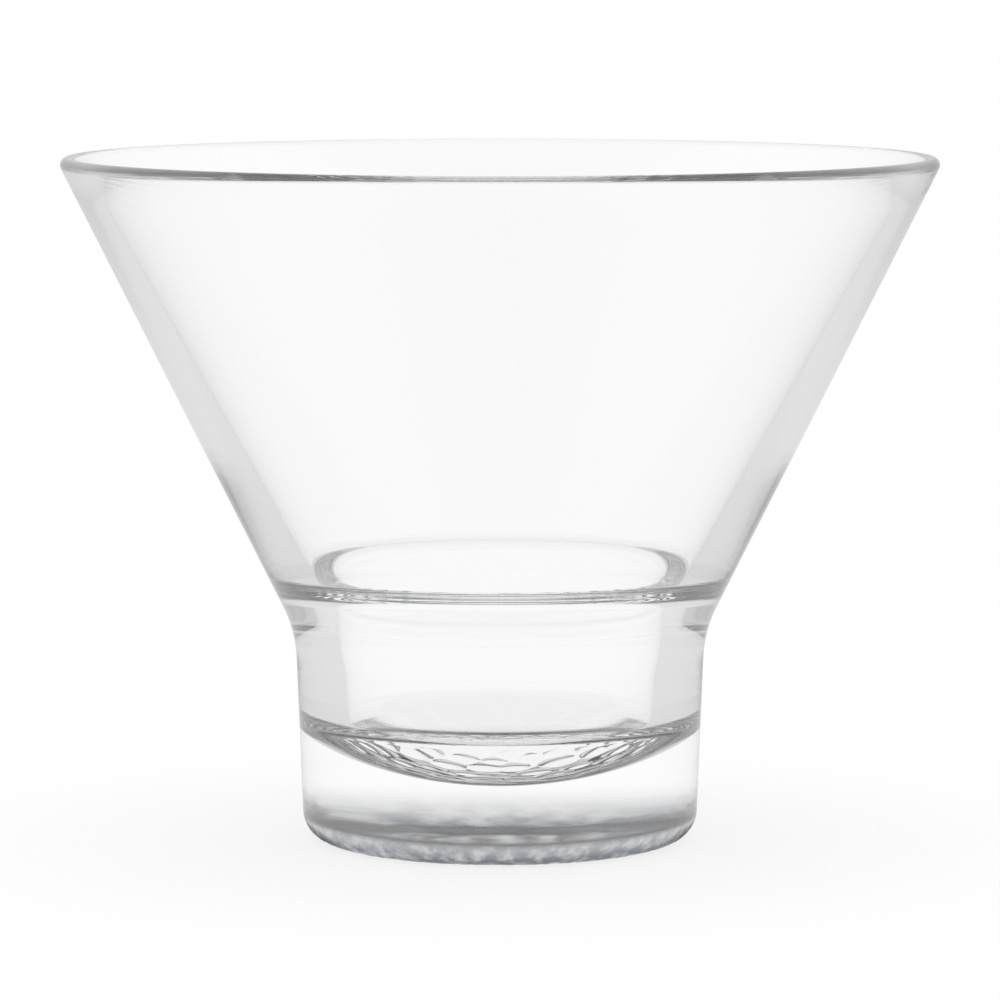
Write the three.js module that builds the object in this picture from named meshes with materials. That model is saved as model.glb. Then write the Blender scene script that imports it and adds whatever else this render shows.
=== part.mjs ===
// Stemless martini glass: a conical bowl fused on a heavy foot that holds a small round well.
// Millimetres, +Z up. The origin is the middle of the underside, on the surface that the glass stands on.
import * as THREE from "three";

// Driving dimensions
const HEIGHT = 89.5; // from the standing surface to the top of the rim
const RIM_DIAMETER = 114; // outside, at the widest point of the rounded rim
const RIM_THICKNESS = 2; // the rim is a full round, and the wall grows thicker down from it

const FOOT_DIAMETER = 51.4; // where the foot's side would meet the standing surface if the heel were sharp
const FOOT_DRAFT = THREE.MathUtils.degToRad(2.25); // the foot widens upwards by this angle
const KNEE_HEIGHT = 27.6; // where the foot's side would meet the cone if the knee were sharp
const KNEE_ROUND = 17; // hollow curve between the foot's side and the cone
const HEEL_ROUND = 3.9; // curve between the foot's side and its underside

const LEDGE_HEIGHT = 35.8; // the narrow level ring inside, between the cone and the well
const LEDGE_DIAMETER = 50.6; // where the inside of the cone would meet the ledge if that corner were sharp
const LEDGE_ROUND = 1.8; // hollow curve between the ledge and the cone
const COLLAR_HEIGHT = 2.6; // the foot's stub of cone above the ledge, which carries the bowl

const WELL_DIAMETER = 43; // at the ledge, if the well's edge were sharp
const WELL_DRAFT = THREE.MathUtils.degToRad(4); // the well narrows downwards by this angle
const WELL_EDGE_ROUND = 2; // curve between the ledge and the well
const BASE_THICKNESS = 8.7; // glass between the standing surface and the lowest point of the well's floor
const FLOOR_RADIUS = 32; // the well's floor is a dish of this spherical radius
const FLOOR_ROUND = 3.5; // hollow curve between the dish and the well's side

const BEARING_WIDTH = 4.5; // level ring that the glass stands on
const PUNT_DEPTH = 0.8; // how far the underside is hollowed inside that ring

const SIDES = 72; // facets round the axis
const ARC_STEPS = 3; // a round stretch has twice as many chords
const TOUCHING = 1e-6; // points nearer than this to each other, or to the axis, are one

// Where a straight line through point a along direction d reaches height z
function radiusAtHeight(a, d, z) {
  return a.x + (d.x / d.y) * (z - a.y);
}

// A path through the corners, with each corner that has a round replaced by a tangent arc
function roundedPath(corners) {
  const path = new THREE.Path();
  corners.forEach(({ at, round }, i) => {
    const before = corners[i - 1]?.at;
    const after = corners[i + 1]?.at;
    if (!before) {
      path.moveTo(at.x, at.y);
      return;
    }
    if (!round || !after) {
      path.lineTo(at.x, at.y);
      return;
    }
    const back = before.clone().sub(at).normalize();
    const ahead = after.clone().sub(at).normalize();
    const halfAngle = Math.acos(back.dot(ahead)) / 2;
    const middle = back.clone().add(ahead).normalize();
    const centre = middle.multiplyScalar(round / Math.sin(halfAngle)).add(at);
    const reach = round / Math.tan(halfAngle);
    const start = back.multiplyScalar(reach).add(at).sub(centre);
    const end = ahead.multiplyScalar(reach).add(at).sub(centre);
    const clockwise = start.cross(end) < 0;
    path.absarc(centre.x, centre.y, round, start.angle(), end.angle(), clockwise);
  });
  return path;
}

// A solid of revolution about +Z from a path in (radius, height)
function turned(path) {
  const drawn = path.getPoints(ARC_STEPS).map(({ x, y }) => new THREE.Vector2(x < TOUCHING ? 0 : x, y));
  const outline = drawn.filter((point, i) => i === 0 || point.distanceTo(drawn[i - 1]) > TOUCHING);
  const geometry = new THREE.LatheGeometry(outline, SIDES);
  return geometry.rotateX(Math.PI / 2);
}

// The outside, below the cone: the foot's upright side, from the heel to the knee
const footSide = new THREE.Vector2(Math.sin(FOOT_DRAFT), Math.cos(FOOT_DRAFT));
const heel = new THREE.Vector2(FOOT_DIAMETER / 2, 0);
const knee = new THREE.Vector2(radiusAtHeight(heel, footSide, KNEE_HEIGHT), KNEE_HEIGHT);

// The cone: its outer face rises from the knee and its inner face from the ledge, both tangent to the round rim
const rimRound = RIM_THICKNESS / 2;
const rimCentre = new THREE.Vector2(RIM_DIAMETER / 2 - rimRound, HEIGHT - rimRound);
const ledgeCorner = new THREE.Vector2(LEDGE_DIAMETER / 2, LEDGE_HEIGHT);

// Direction of the tangent from a point to the rim, under the rim's centre (side 1) or over it (side -1)
function tangentToRim(from, side) {
  const toRim = rimCentre.clone().sub(from);
  const angle = toRim.angle() - side * Math.asin(rimRound / toRim.length());
  return new THREE.Vector2(Math.cos(angle), Math.sin(angle));
}

const outerCone = tangentToRim(knee, 1);
const innerCone = tangentToRim(ledgeCorner, -1);
const outerAt = (z) => radiusAtHeight(knee, outerCone, z);
const innerAt = (z) => radiusAtHeight(ledgeCorner, innerCone, z);

// The level joint where the bowl stands on the foot
const jointHeight = LEDGE_HEIGHT + COLLAR_HEIGHT;

// Bowl: a cone open below, whose wall is thinnest under the rim
function bowlGeometry() {
  const outward = new THREE.Vector2(outerCone.y, -outerCone.x).angle();
  const inward = new THREE.Vector2(-innerCone.y, innerCone.x).angle();
  const path = new THREE.Path();
  path.moveTo(innerAt(jointHeight), jointHeight);
  path.lineTo(outerAt(jointHeight), jointHeight);
  path.absarc(rimCentre.x, rimCentre.y, rimRound, outward, inward, false);
  path.closePath();
  return turned(path);
}

// Foot: solid base, side and flare outside; collar, ledge and well inside
function footGeometry() {
  const wellEdge = new THREE.Vector2(WELL_DIAMETER / 2, LEDGE_HEIGHT);
  const wellDown = new THREE.Vector2(-Math.sin(WELL_DRAFT), -Math.cos(WELL_DRAFT));
  const wellOutward = new THREE.Vector2(Math.cos(WELL_DRAFT), -Math.sin(WELL_DRAFT));

  // The floor's round touches the well's side and, from inside, the dish
  const dishCentre = new THREE.Vector2(0, BASE_THICKNESS + FLOOR_RADIUS);
  const roundLine = wellEdge.clone().addScaledVector(wellOutward, -FLOOR_ROUND);
  const fromDish = roundLine.clone().sub(dishCentre);
  const towards = fromDish.dot(wellDown);
  const depth = -towards + Math.sqrt(towards ** 2 - fromDish.lengthSq() + (FLOOR_RADIUS - FLOOR_ROUND) ** 2);
  const roundCentre = roundLine.addScaledVector(wellDown, depth);
  const sideTouch = roundCentre.clone().addScaledVector(wellOutward, FLOOR_ROUND);
  const dishTouch = roundCentre.clone().sub(dishCentre).angle();

  const bearingInner = FOOT_DIAMETER / 2 - HEEL_ROUND - BEARING_WIDTH;
  const path = roundedPath([
    { at: new THREE.Vector2(0, PUNT_DEPTH) },
    { at: new THREE.Vector2(bearingInner, 0) },
    { at: heel, round: HEEL_ROUND },
    { at: knee, round: KNEE_ROUND },
    { at: new THREE.Vector2(outerAt(jointHeight), jointHeight) },
    { at: new THREE.Vector2(innerAt(jointHeight), jointHeight) },
    { at: ledgeCorner, round: LEDGE_ROUND },
    { at: wellEdge, round: WELL_EDGE_ROUND },
    { at: sideTouch },
  ]);
  path.absarc(roundCentre.x, roundCentre.y, FLOOR_ROUND, wellOutward.angle(), dishTouch, true);
  path.absarc(dishCentre.x, dishCentre.y, FLOOR_RADIUS, dishTouch, 1.5 * Math.PI, true);
  return turned(path);
}

const CLEAR_GLASS = { color: 0xf4f7f7, roughness: 0.05, metalness: 0, transparent: true, opacity: 0.35 };

function glassPiece(name, geometry) {
  const mesh = new THREE.Mesh(geometry, new THREE.MeshStandardMaterial(CLEAR_GLASS));
  mesh.name = name;
  return mesh;
}

const glass = new THREE.Group();
glass.add(glassPiece("bowl", bowlGeometry()));
glass.add(glassPiece("foot", footGeometry()));

export default glass;
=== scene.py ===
"""Looks of a stemless martini glass: clear pressed glass with a stippled underside, in a white studio."""
import math
import random

import bmesh
import bpy
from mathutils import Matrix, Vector


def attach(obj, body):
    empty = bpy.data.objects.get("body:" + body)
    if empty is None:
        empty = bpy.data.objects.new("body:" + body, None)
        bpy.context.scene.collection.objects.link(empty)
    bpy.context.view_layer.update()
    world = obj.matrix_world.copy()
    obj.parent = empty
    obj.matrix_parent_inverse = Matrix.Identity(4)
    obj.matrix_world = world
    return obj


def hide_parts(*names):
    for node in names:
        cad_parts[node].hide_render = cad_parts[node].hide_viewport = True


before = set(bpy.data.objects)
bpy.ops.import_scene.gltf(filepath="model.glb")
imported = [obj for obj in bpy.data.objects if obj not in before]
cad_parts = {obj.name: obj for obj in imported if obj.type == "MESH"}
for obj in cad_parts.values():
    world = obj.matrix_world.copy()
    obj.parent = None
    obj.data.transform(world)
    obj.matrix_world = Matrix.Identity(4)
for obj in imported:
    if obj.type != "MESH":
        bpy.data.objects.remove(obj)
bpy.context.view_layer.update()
scene = bpy.context.scene

MM = 0.001

# Shape of the glass in millimetres, as in the solids
HEIGHT = 89.5
RIM_DIAMETER = 114.0
RIM_THICKNESS = 2.0
FOOT_DIAMETER = 51.4
FOOT_DRAFT = math.radians(2.25)
KNEE_HEIGHT = 27.6
KNEE_ROUND = 17.0
HEEL_ROUND = 3.9
LEDGE_HEIGHT = 35.8
LEDGE_DIAMETER = 50.6
LEDGE_ROUND = 1.8
COLLAR_HEIGHT = 2.6
WELL_DIAMETER = 43.0
WELL_DRAFT = math.radians(4.0)
WELL_EDGE_ROUND = 2.0
BASE_THICKNESS = 8.7
FLOOR_RADIUS = 32.0
FLOOR_ROUND = 3.5
BEARING_WIDTH = 4.5
PUNT_DEPTH = 0.8

# Stippling pressed in the underside, in broad low domes, and in the heel, in smaller ones
UNDER_GAP = 4.6
UNDER_RADIUS = 2.6
UNDER_HEIGHT = 0.6
HEEL_GAP = 1.7
HEEL_RADIUS = 1.05
HEEL_HEIGHT = 0.06
DOME_SCATTER = 0.3
DOME_SIZES = (0.8, 1.15)
DOME_SEED = 7
CHANGE_WIDTH = 1.0
HEEL_STIPPLED_TO = math.radians(80.0)
HEEL_FADE_FROM = math.radians(50.0)

# Fineness of the turned meshes
SIDES = 540
ARC_STEPS = 16
UNDERSIDE_RINGS = 75
HEEL_RINGS = 24
CONE_RINGS = 12


# Outline of the glass

def arc(centre, radius, start, end, steps=ARC_STEPS):
    """Points along an arc of the outline, both ends included."""
    points = []
    for k in range(steps + 1):
        angle = start + (end - start) * k / steps
        points.append(centre + radius * Vector((math.cos(angle), math.sin(angle))))
    return points


def angle_of(direction):
    return math.atan2(direction.y, direction.x)


def rounded(before, corner, after, radius):
    """The arc that rounds one corner of the outline."""
    back = (before - corner).normalized()
    ahead = (after - corner).normalized()
    half = math.acos(back.dot(ahead)) / 2
    centre = corner + (back + ahead).normalized() * radius / math.sin(half)
    reach = radius / math.tan(half)
    start = angle_of(corner + back * reach - centre)
    end = angle_of(corner + ahead * reach - centre)
    if end - start > math.pi:
        end -= 2 * math.pi
    if end - start < -math.pi:
        end += 2 * math.pi
    return arc(centre, radius, start, end)


def straight(start, end, steps):
    """Points along a straight stretch of the outline, without its ends."""
    return [start.lerp(end, k / steps) for k in range(1, steps)]


heel = Vector((FOOT_DIAMETER / 2, 0.0))
knee = Vector((heel.x + math.tan(FOOT_DRAFT) * KNEE_HEIGHT, KNEE_HEIGHT))
rim_round = RIM_THICKNESS / 2
rim_centre = Vector((RIM_DIAMETER / 2 - rim_round, HEIGHT - rim_round))
ledge_corner = Vector((LEDGE_DIAMETER / 2, LEDGE_HEIGHT))
well_edge = Vector((WELL_DIAMETER / 2, LEDGE_HEIGHT))
joint_height = LEDGE_HEIGHT + COLLAR_HEIGHT


def tangent_to_rim(start, side):
    """Direction from a point to the rim, under the rim's centre (side 1) or over it (side -1)."""
    to_rim = rim_centre - start
    angle = angle_of(to_rim) - side * math.asin(rim_round / to_rim.length)
    return Vector((math.cos(angle), math.sin(angle)))


outer_cone = tangent_to_rim(knee, 1)
inner_cone = tangent_to_rim(ledge_corner, -1)
outer_joint = knee + outer_cone * (joint_height - knee.y) / outer_cone.y
inner_joint = ledge_corner + inner_cone * (joint_height - ledge_corner.y) / inner_cone.y


def bowl_outline():
    """Round the bowl's wall, from the joint's inner edge out, up, over the rim and down inside."""
    outward = angle_of(Vector((outer_cone.y, -outer_cone.x)))
    inward = angle_of(Vector((-inner_cone.y, inner_cone.x)))
    rim = arc(rim_centre, rim_round, outward, inward)
    outside = straight(outer_joint, rim[0], CONE_RINGS)
    inside = straight(rim[-1], inner_joint, CONE_RINGS)
    return [inner_joint, outer_joint] + outside + rim + inside


def foot_sides():
    """From the top of the heel up the outside to the joint."""
    return rounded(heel, knee, outer_joint, KNEE_ROUND) + [outer_joint]


def foot_inside():
    """From the joint down the collar, over the ledge, down the well and along its floor to the axis."""
    well_down = Vector((-math.sin(WELL_DRAFT), -math.cos(WELL_DRAFT)))
    well_outward = Vector((math.cos(WELL_DRAFT), -math.sin(WELL_DRAFT)))
    dish_centre = Vector((0.0, BASE_THICKNESS + FLOOR_RADIUS))
    round_line = well_edge - well_outward * FLOOR_ROUND
    from_dish = round_line - dish_centre
    towards = from_dish.dot(well_down)
    span = (FLOOR_RADIUS - FLOOR_ROUND) ** 2 - from_dish.length_squared
    round_centre = round_line + well_down * (math.sqrt(towards ** 2 + span) - towards)
    side_touch = round_centre + well_outward * FLOOR_ROUND
    dish_touch = angle_of(round_centre - dish_centre)
    points = [inner_joint]
    points += rounded(inner_joint, ledge_corner, well_edge, LEDGE_ROUND)
    points += rounded(ledge_corner, well_edge, side_touch, WELL_EDGE_ROUND)
    points += arc(round_centre, FLOOR_ROUND, angle_of(well_outward), dish_touch)
    points += arc(dish_centre, FLOOR_RADIUS, dish_touch, -math.pi / 2)[1:-1]
    return points


# Stippled underside

heel_half = math.pi / 4 + FOOT_DRAFT / 2
flat_radius = heel.x - HEEL_ROUND / math.tan(heel_half)
bearing_inner = heel.x - HEEL_ROUND - BEARING_WIDTH
heel_turn = math.pi / 2 - FOOT_DRAFT


def smooth_step(low, high, value):
    share = min(1.0, max(0.0, (value - low) / (high - low)))
    return share * share * (3 - 2 * share)


def scatter_domes(gap, radius, draw):
    """Domes of an uneven honeycomb by grid cell, laid out as if the heel were rolled out flat."""
    cells = {}
    rows = int((flat_radius + HEEL_ROUND * heel_turn) / (gap * math.sqrt(0.75))) + 2
    for j in range(-rows, rows + 1):
        for i in range(-rows, rows + 1):
            x = (i + 0.5 * (j % 2) + draw.uniform(-DOME_SCATTER, DOME_SCATTER)) * gap
            y = (j * math.sqrt(0.75) + draw.uniform(-DOME_SCATTER, DOME_SCATTER)) * gap
            size = radius * draw.uniform(*DOME_SIZES)
            cells.setdefault((math.floor(x / gap), math.floor(y / gap)), []).append((x, y, size))
    return cells


dome_draw = random.Random(DOME_SEED)
under_domes = scatter_domes(UNDER_GAP, UNDER_RADIUS, dome_draw)
heel_domes = scatter_domes(HEEL_GAP, HEEL_RADIUS, dome_draw)


def between_domes(x, y, domes, gap):
    """0 on top of a dome and 1 in the valleys."""
    column = math.floor(x / gap)
    row = math.floor(y / gap)
    rise = 0.0
    for i in (column - 1, column, column + 1):
        for j in (row - 1, row, row + 1):
            for dome_x, dome_y, radius in domes.get((i, j), ()):
                share = ((x - dome_x) ** 2 + (y - dome_y) ** 2) / radius ** 2
                rise = max(rise, 1 - share)
    return 1 - rise


def stipple_depth(x, y):
    """How far the glass lies back from its plain shape, in millimetres."""
    heel_share = smooth_step(flat_radius - CHANGE_WIDTH, flat_radius, math.hypot(x, y))
    depth = 0.0
    if heel_share < 1:
        depth += (1 - heel_share) * UNDER_HEIGHT * between_domes(x, y, under_domes, UNDER_GAP)
    if heel_share > 0:
        depth += heel_share * HEEL_HEIGHT * between_domes(x, y, heel_domes, HEEL_GAP)
    return depth


def underside_ring(rolled_out):
    """One ring of points of the underside or the heel, at a distance from the axis along the surface."""
    lean = max(0.0, (rolled_out - flat_radius) / HEEL_ROUND)
    outward = Vector((math.sin(lean), -math.cos(lean)))
    spot = Vector((min(rolled_out, flat_radius), HEEL_ROUND)) + outward * HEEL_ROUND
    hollow = PUNT_DEPTH * max(0.0, 1 - (rolled_out / bearing_inner) ** 2)
    fade = 1 - smooth_step(HEEL_FADE_FROM, HEEL_STIPPLED_TO, lean)
    ring = []
    for k in range(SIDES):
        turn = 2 * math.pi * k / SIDES
        depth = fade * stipple_depth(rolled_out * math.cos(turn), rolled_out * math.sin(turn))
        point = spot - outward * depth
        ring.append(Vector((point.x * math.cos(turn), point.x * math.sin(turn), point.y + hollow)))
    return ring


# Turned meshes

def plain_ring(point):
    turns = [2 * math.pi * k / SIDES for k in range(SIDES)]
    return [Vector((point.x * math.cos(t), point.x * math.sin(t), point.y)) for t in turns]


def glass_piece(name, rings, closed, joint_after, materials):
    """A smooth turned piece from rings of points in millimetres. The joint's face has the second material."""
    shape = bmesh.new()
    loops = [[shape.verts.new(point * MM) for point in ring] for ring in rings]
    pairs = list(zip(loops, loops[1:]))
    if closed:
        pairs.append((loops[-1], loops[0]))
    for index, (low, high) in enumerate(pairs):
        for k in range(SIDES):
            after = (k + 1) % SIDES
            if len(low) == 1:
                corners = (low[0], high[after], high[k])
            elif len(high) == 1:
                corners = (low[k], low[after], high[0])
            else:
                corners = (low[k], low[after], high[after], high[k])
            face = shape.faces.new(corners)
            face.smooth = True
            if index == joint_after:
                face.material_index = 1
                for edge in face.edges:
                    edge.smooth = False
    bmesh.ops.recalc_face_normals(shape, faces=shape.faces)
    mesh = bpy.data.meshes.new(name)
    shape.to_mesh(mesh)
    shape.free()
    for material in materials:
        mesh.materials.append(material)
    piece = bpy.data.objects.new(name, mesh)
    scene.collection.objects.link(piece)
    return piece


# Materials

class Nodes:
    """A short way to add linked nodes to a material or world."""

    def __init__(self, owner):
        owner.use_nodes = True
        self.tree = owner.node_tree
        self.tree.nodes.clear()

    def add(self, kind, inputs=None, **settings):
        node = self.tree.nodes.new(kind)
        for key, value in settings.items():
            setattr(node, key, value)
        for key, value in (inputs or {}).items():
            self.put(node, key, value)
        return node

    def put(self, node, key, value):
        """Link another node's output to an input, or set the input to a plain value."""
        if isinstance(value, bpy.types.NodeSocket):
            self.tree.links.new(value, node.inputs[key])
        else:
            node.inputs[key].default_value = value

    def math(self, operation, *values):
        return self.add("ShaderNodeMath", dict(enumerate(values)), operation=operation).outputs[0]

    def ranged(self, value, source, target, interpolation="LINEAR"):
        """A value carried from one range to another, and held at its ends."""
        node = self.add("ShaderNodeMapRange", {"Value": value}, interpolation_type=interpolation)
        for side, (low, high) in (("From", source), ("To", target)):
            for end, limit in (("Min", low), ("Max", high)):
                self.put(node, f"{side} {end}", limit)
        return node.outputs["Result"]


GLASS_TINT = (0.997, 0.998, 0.999, 1.0)
GLASS_IOR = 1.5
POLISH = (0.0, 0.012)
POLISH_SCALE = 140.0
POLISH_DETAIL = 3.0
POLISH_RANGE = (0.45, 0.75)
WAVE_SCALE = 55.0
WAVE_DETAIL = 1.0
WAVE_DEPTH = 0.00002

# The stippled heel is less polished, and painted greyer and a little blue as shade. Places are in metres.
# The painted shade stands in for the floor's contact shadow and the dark room seen through the heel.
HEEL_PAINTED_SHADE = (0.038, 0.051, 0.072, 1.0)
HEEL_ROUGHNESS = 0.36
SHADE_AND_ROUGH_SCALE = 560.0
SHADE_AND_ROUGH_DETAIL = 3.0
SHADE_AND_ROUGH_RANGE = (0.36, 0.58)
SHADE_AND_ROUGH_SHARES = (0.74, 1.0)
SHADE_AND_ROUGH_FROM_AXIS = (0.0205, 0.0228)
SHADE_AND_ROUGH_HEIGHT = (0.0, 0.007)

# Sockets of a Mix node that mixes colours, whose names are shared with its other kinds
COLOUR_A = 6
COLOUR_B = 7
COLOUR_OUT = 2


def shade_and_rough_share(nodes, place):
    """0 on clean glass and up to 1 on the heel's band of painted shade and roughness."""
    height = nodes.add("ShaderNodeSeparateXYZ", {"Vector": place}).outputs["Z"]
    level = nodes.add("ShaderNodeVectorMath", {0: place, 1: (1.0, 1.0, 0.0)}, operation="MULTIPLY")
    off_axis = nodes.add("ShaderNodeVectorMath", {0: level.outputs["Vector"]}, operation="LENGTH")
    outer = nodes.ranged(off_axis.outputs["Value"], SHADE_AND_ROUGH_FROM_AXIS, (0.0, 1.0), "SMOOTHSTEP")
    low = nodes.ranged(height, SHADE_AND_ROUGH_HEIGHT, (1.0, 0.0), "SMOOTHERSTEP")
    grain = nodes.add("ShaderNodeTexNoise", {"Vector": place, "Scale": SHADE_AND_ROUGH_SCALE, "Detail": SHADE_AND_ROUGH_DETAIL})
    patchy = nodes.ranged(grain.outputs["Fac"], SHADE_AND_ROUGH_RANGE, SHADE_AND_ROUGH_SHARES)
    return nodes.math("MULTIPLY", nodes.math("MULTIPLY", outer, low), patchy)


def clear_glass():
    """Pressed clear glass: a slightly uneven fire polish, faint waves from the mould, and a rougher heel with
    painted shade.
    """
    material = bpy.data.materials.new("clear_glass")
    nodes = Nodes(material)
    place = nodes.add("ShaderNodeTexCoord").outputs["Object"]
    shade_and_rough = shade_and_rough_share(nodes, place)
    # The heel's tint is painted shade: it darkens the glass low on the foot, where the contact shadow is
    # seen.
    tint = nodes.add("ShaderNodeMix", {"Factor": shade_and_rough}, data_type="RGBA")
    tint.inputs[COLOUR_A].default_value = GLASS_TINT
    tint.inputs[COLOUR_B].default_value = HEEL_PAINTED_SHADE
    smears = nodes.add("ShaderNodeTexNoise", {
        "Vector": place, "Scale": POLISH_SCALE, "Detail": POLISH_DETAIL,
    })
    polish = nodes.ranged(smears.outputs["Fac"], POLISH_RANGE, POLISH)
    roughness = nodes.math("MULTIPLY_ADD", shade_and_rough, HEEL_ROUGHNESS, polish)
    waves = nodes.add("ShaderNodeTexNoise", {"Vector": place, "Scale": WAVE_SCALE, "Detail": WAVE_DETAIL})
    bump = nodes.add("ShaderNodeBump", {"Height": waves.outputs["Fac"], "Distance": WAVE_DEPTH})
    glass = nodes.add("ShaderNodeBsdfPrincipled", {
        "Base Color": tint.outputs[COLOUR_OUT], "IOR": GLASS_IOR, "Transmission Weight": 1.0,
        "Roughness": roughness, "Normal": bump.outputs["Normal"],
    })
    nodes.add("ShaderNodeOutputMaterial", {"Surface": glass.outputs["BSDF"]})
    return material


def fused_joint():
    """The level joint inside the glass, which can't be seen because the two pieces are fused there."""
    material = bpy.data.materials.new("fused_joint")
    nodes = Nodes(material)
    unseen = nodes.add("ShaderNodeBsdfTransparent")
    nodes.add("ShaderNodeOutputMaterial", {"Surface": unseen.outputs["BSDF"]})
    return material


glass_materials = [clear_glass(), fused_joint()]

# Bowl and foot

bowl_rings = [plain_ring(point) for point in bowl_outline()]
bowl = glass_piece("bowl_glass", bowl_rings, True, 0, glass_materials)

heel_reach = flat_radius + HEEL_ROUND * heel_turn
rolled = [flat_radius * k / UNDERSIDE_RINGS for k in range(1, UNDERSIDE_RINGS)]
rolled += [flat_radius + (heel_reach - flat_radius) * k / HEEL_RINGS for k in range(HEEL_RINGS + 1)]
foot_rings = [[Vector((0.0, 0.0, PUNT_DEPTH + stipple_depth(0.0, 0.0)))]]
foot_rings += [underside_ring(distance) for distance in rolled]
foot_rings += [plain_ring(point) for point in foot_sides()]
joint_after = len(foot_rings) - 1
foot_rings += [plain_ring(point) for point in foot_inside()]
foot_rings.append([Vector((0.0, 0.0, BASE_THICKNESS))])
foot = glass_piece("foot_glass", foot_rings, False, joint_after, glass_materials)

for piece, node in ((bowl, "bowl"), (foot, "foot")):
    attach(piece, "root")
    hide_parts(node)

# Studio: a white dome over a white floor, plain white to the camera and to the light on the floor. A ray that
# comes through the glass sees a dim top of the dome, a dark ring of floor under the heel, and less light the
# more often it was reflected in the glass. They stand in for the unlit parts of a room.

WHITE = (1.0, 1.0, 1.0, 1.0)
BOUNCES = 200

# The dome's grey by how far upward a ray goes, from level to straight up
DOME_TONES = ((0.0, 1.0), (0.55, 1.0), (0.7, 0.9), (0.85, 0.25), (1.0, 0.05))

# The floor: its size in metres, the greys of the pool of shadow out to its reach, and the shadow that is seen
FLOOR_SIZE = 6.0
FLOOR_COLOUR = (0.95, 0.95, 0.95, 1.0)
POOL_REACH = 0.1
POOL_TONES = ((0.0, 0.95), (0.225, 0.95), (0.245, 0.3), (0.27, 0.3), (0.3, 0.95), (0.6, 0.95), (1.0, 1.0))
SHADOW_REACH = (0.03, 0.1)
SHADOW_WHITE = (0.8, 1.0)

# Loss by reflections. The dome's loss becomes the floor's at the horizon. The floor near the glass has a
# small loss, which comes in only after some reflections.
DOME_LOSS = 0.2
FLOOR_LOSS = 0.3
HORIZON = (0.0, 0.3)
NEAR_FLOOR = (0.023, 0.030)
NEAR_LOSS = 0.06
NEAR_LOSS_AFTER = (5.0, 12.0)

# Rays with very many reflections see an even grey by their number, lighter from the floor than from the dome
DEEP_REACH = 100.0
DEEP_TONES = ((0.0, 0.0), (0.18, 0.0), (0.28, 1.0), (0.36, 1.0), (0.75, 0.3), (1.0, 0.3))
DOME_EVEN = 0.1
FLOOR_EVEN = 0.72
EVEN_UP_TO = (0.3, 0.45)


def tone_ramp(nodes, place, tones):
    """A smooth run of greys along a value from 0 to 1."""
    ramp = nodes.add("ShaderNodeValToRGB", {"Fac": place})
    ramp.color_ramp.interpolation = "EASE"
    elements = ramp.color_ramp.elements
    while len(elements) < len(tones):
        elements.new(0.5)
    for element, (position, tone) in zip(elements, tones):
        element.position = position
        element.color = (tone, tone, tone, 1.0)
    return ramp.outputs["Color"]


def left_after_reflections(nodes, path, loss, even):
    """The share of light left after reflections in the glass, which evens out after very many."""
    count = path.outputs["Glossy Depth"]
    left = nodes.math("DIVIDE", 1.0, nodes.math("MULTIPLY_ADD", count, loss, 1.0))
    many = tone_ramp(nodes, nodes.math("DIVIDE", count, DEEP_REACH), DEEP_TONES)
    return nodes.math("MAXIMUM", left, nodes.math("MULTIPLY", many, even))


def white_dome():
    world = bpy.data.worlds.new("white_dome")
    nodes = Nodes(world)
    path = nodes.add("ShaderNodeLightPath")
    direction = nodes.add("ShaderNodeTexCoord").outputs["Generated"]
    upward = nodes.add("ShaderNodeSeparateXYZ", {"Vector": direction}).outputs["Z"]
    dome = tone_ramp(nodes, upward, DOME_TONES)
    loss = nodes.ranged(upward, HORIZON, (FLOOR_LOSS, DOME_LOSS))
    even = nodes.ranged(upward, EVEN_UP_TO, (FLOOR_EVEN, DOME_EVEN))
    in_the_glass = nodes.math("MULTIPLY", dome, left_after_reflections(nodes, path, loss, even))
    plain = nodes.math("MAXIMUM", path.outputs["Is Camera Ray"], path.outputs["Is Diffuse Ray"])
    level = nodes.add("ShaderNodeMix", {"Factor": plain, "A": in_the_glass, "B": 1.0}, data_type="FLOAT")
    light = nodes.add("ShaderNodeBackground", {"Color": WHITE, "Strength": level.outputs["Result"]})
    nodes.add("ShaderNodeOutputWorld", {"Surface": light.outputs["Background"]})
    return world


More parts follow.
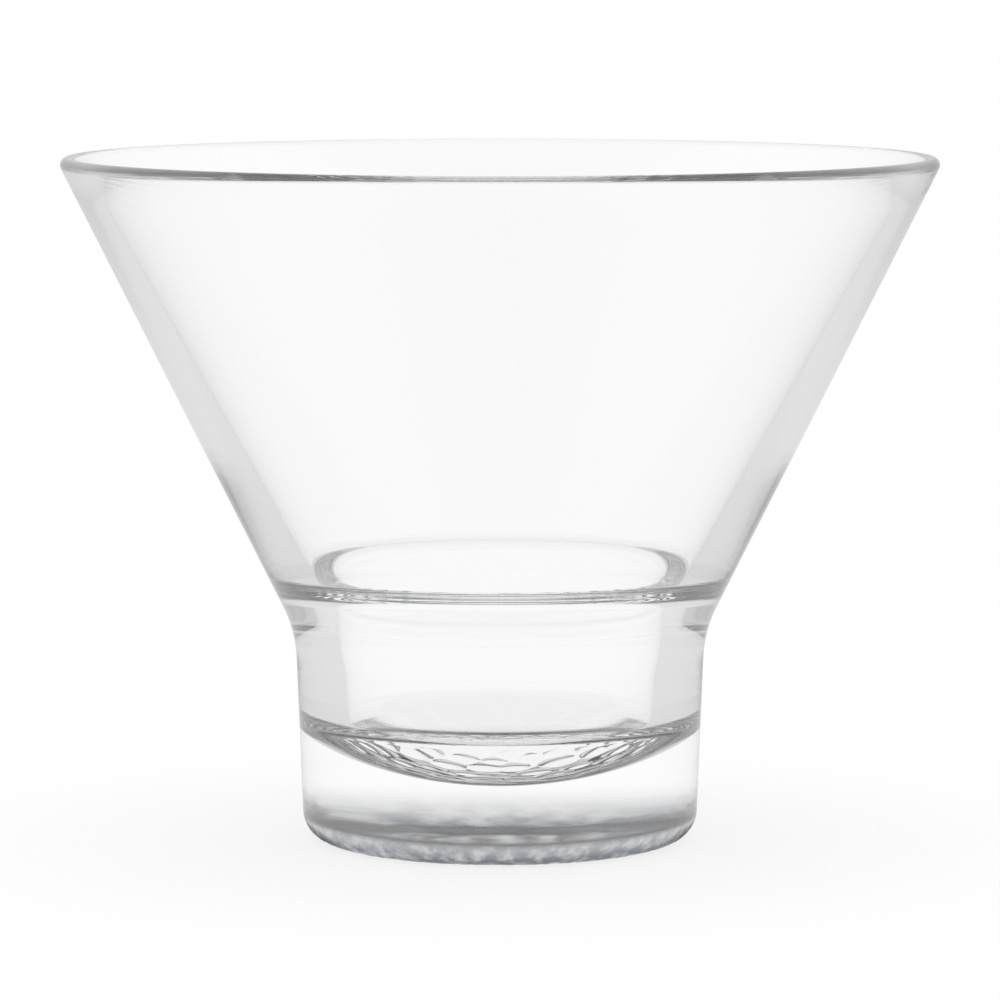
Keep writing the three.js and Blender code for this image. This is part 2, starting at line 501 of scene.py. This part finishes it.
def white_floor():
    """White to the eye with a soft shadow round the foot. The glass shows a painted contact shadow, a dark
    ring under the heel.
    """
    bpy.ops.mesh.primitive_plane_add(size=FLOOR_SIZE)
    floor = bpy.context.object
    floor.name = "floor"
    material = bpy.data.materials.new("floor")
    nodes = Nodes(material)
    path = nodes.add("ShaderNodeLightPath")
    spot = nodes.add("ShaderNodeNewGeometry").outputs["Position"]
    distance = nodes.add("ShaderNodeVectorMath", {0: spot}, operation="LENGTH").outputs["Value"]

    lit = nodes.add("ShaderNodeBsdfDiffuse", {"Color": FLOOR_COLOUR})
    white = nodes.add("ShaderNodeEmission", {"Color": WHITE, "Strength": 1.0})
    white_share = nodes.ranged(distance, SHADOW_REACH, SHADOW_WHITE, "SMOOTHSTEP")
    to_the_eye = nodes.add("ShaderNodeMixShader", {
        "Fac": white_share, 1: lit.outputs["BSDF"], 2: white.outputs["Emission"],
    })

    # Painted shadow: the pool and its dark ring under the heel are shade painted on the floor, seen only
    # through the glass.
    pool = tone_ramp(nodes, nodes.math("DIVIDE", distance, POOL_REACH), POOL_TONES)
    near_loss = nodes.ranged(path.outputs["Glossy Depth"], NEAR_LOSS_AFTER, (0.0, NEAR_LOSS))
    loss = nodes.ranged(distance, NEAR_FLOOR, (near_loss, FLOOR_LOSS))
    left = left_after_reflections(nodes, path, loss, FLOOR_EVEN)
    in_the_glass = nodes.add("ShaderNodeEmission", {"Color": pool, "Strength": left})

    both = nodes.add("ShaderNodeMixShader", {
        "Fac": path.outputs["Is Camera Ray"],
        1: in_the_glass.outputs["Emission"],
        2: to_the_eye.outputs["Shader"],
    })
    nodes.add("ShaderNodeOutputMaterial", {"Surface": both.outputs["Shader"]})
    floor.data.materials.append(material)


scene.world = white_dome()
white_floor()
scene.view_settings.view_transform = "Standard"
scene.cycles.max_bounces = BOUNCES
scene.cycles.transmission_bounces = BOUNCES
scene.cycles.glossy_bounces = BOUNCES
scene.cycles.transparent_max_bounces = BOUNCES

# Camera at the photograph's place

CAMERA_AT = (0.0, -0.740, 0.1218)
CAMERA_DOWN = 0.104
CAMERA_LENS = 204.95
CAMERA_SENSOR = 36.0
CAMERA_CLIP = 0.01

camera = bpy.data.objects.new("camera", bpy.data.cameras.new("camera"))
camera.location = CAMERA_AT
camera.rotation_euler = (math.pi / 2 - CAMERA_DOWN, 0.0, 0.0)
camera.data.lens = CAMERA_LENS
camera.data.sensor_width = CAMERA_SENSOR
camera.data.clip_start = CAMERA_CLIP
scene.collection.objects.link(camera)
scene.camera = camera
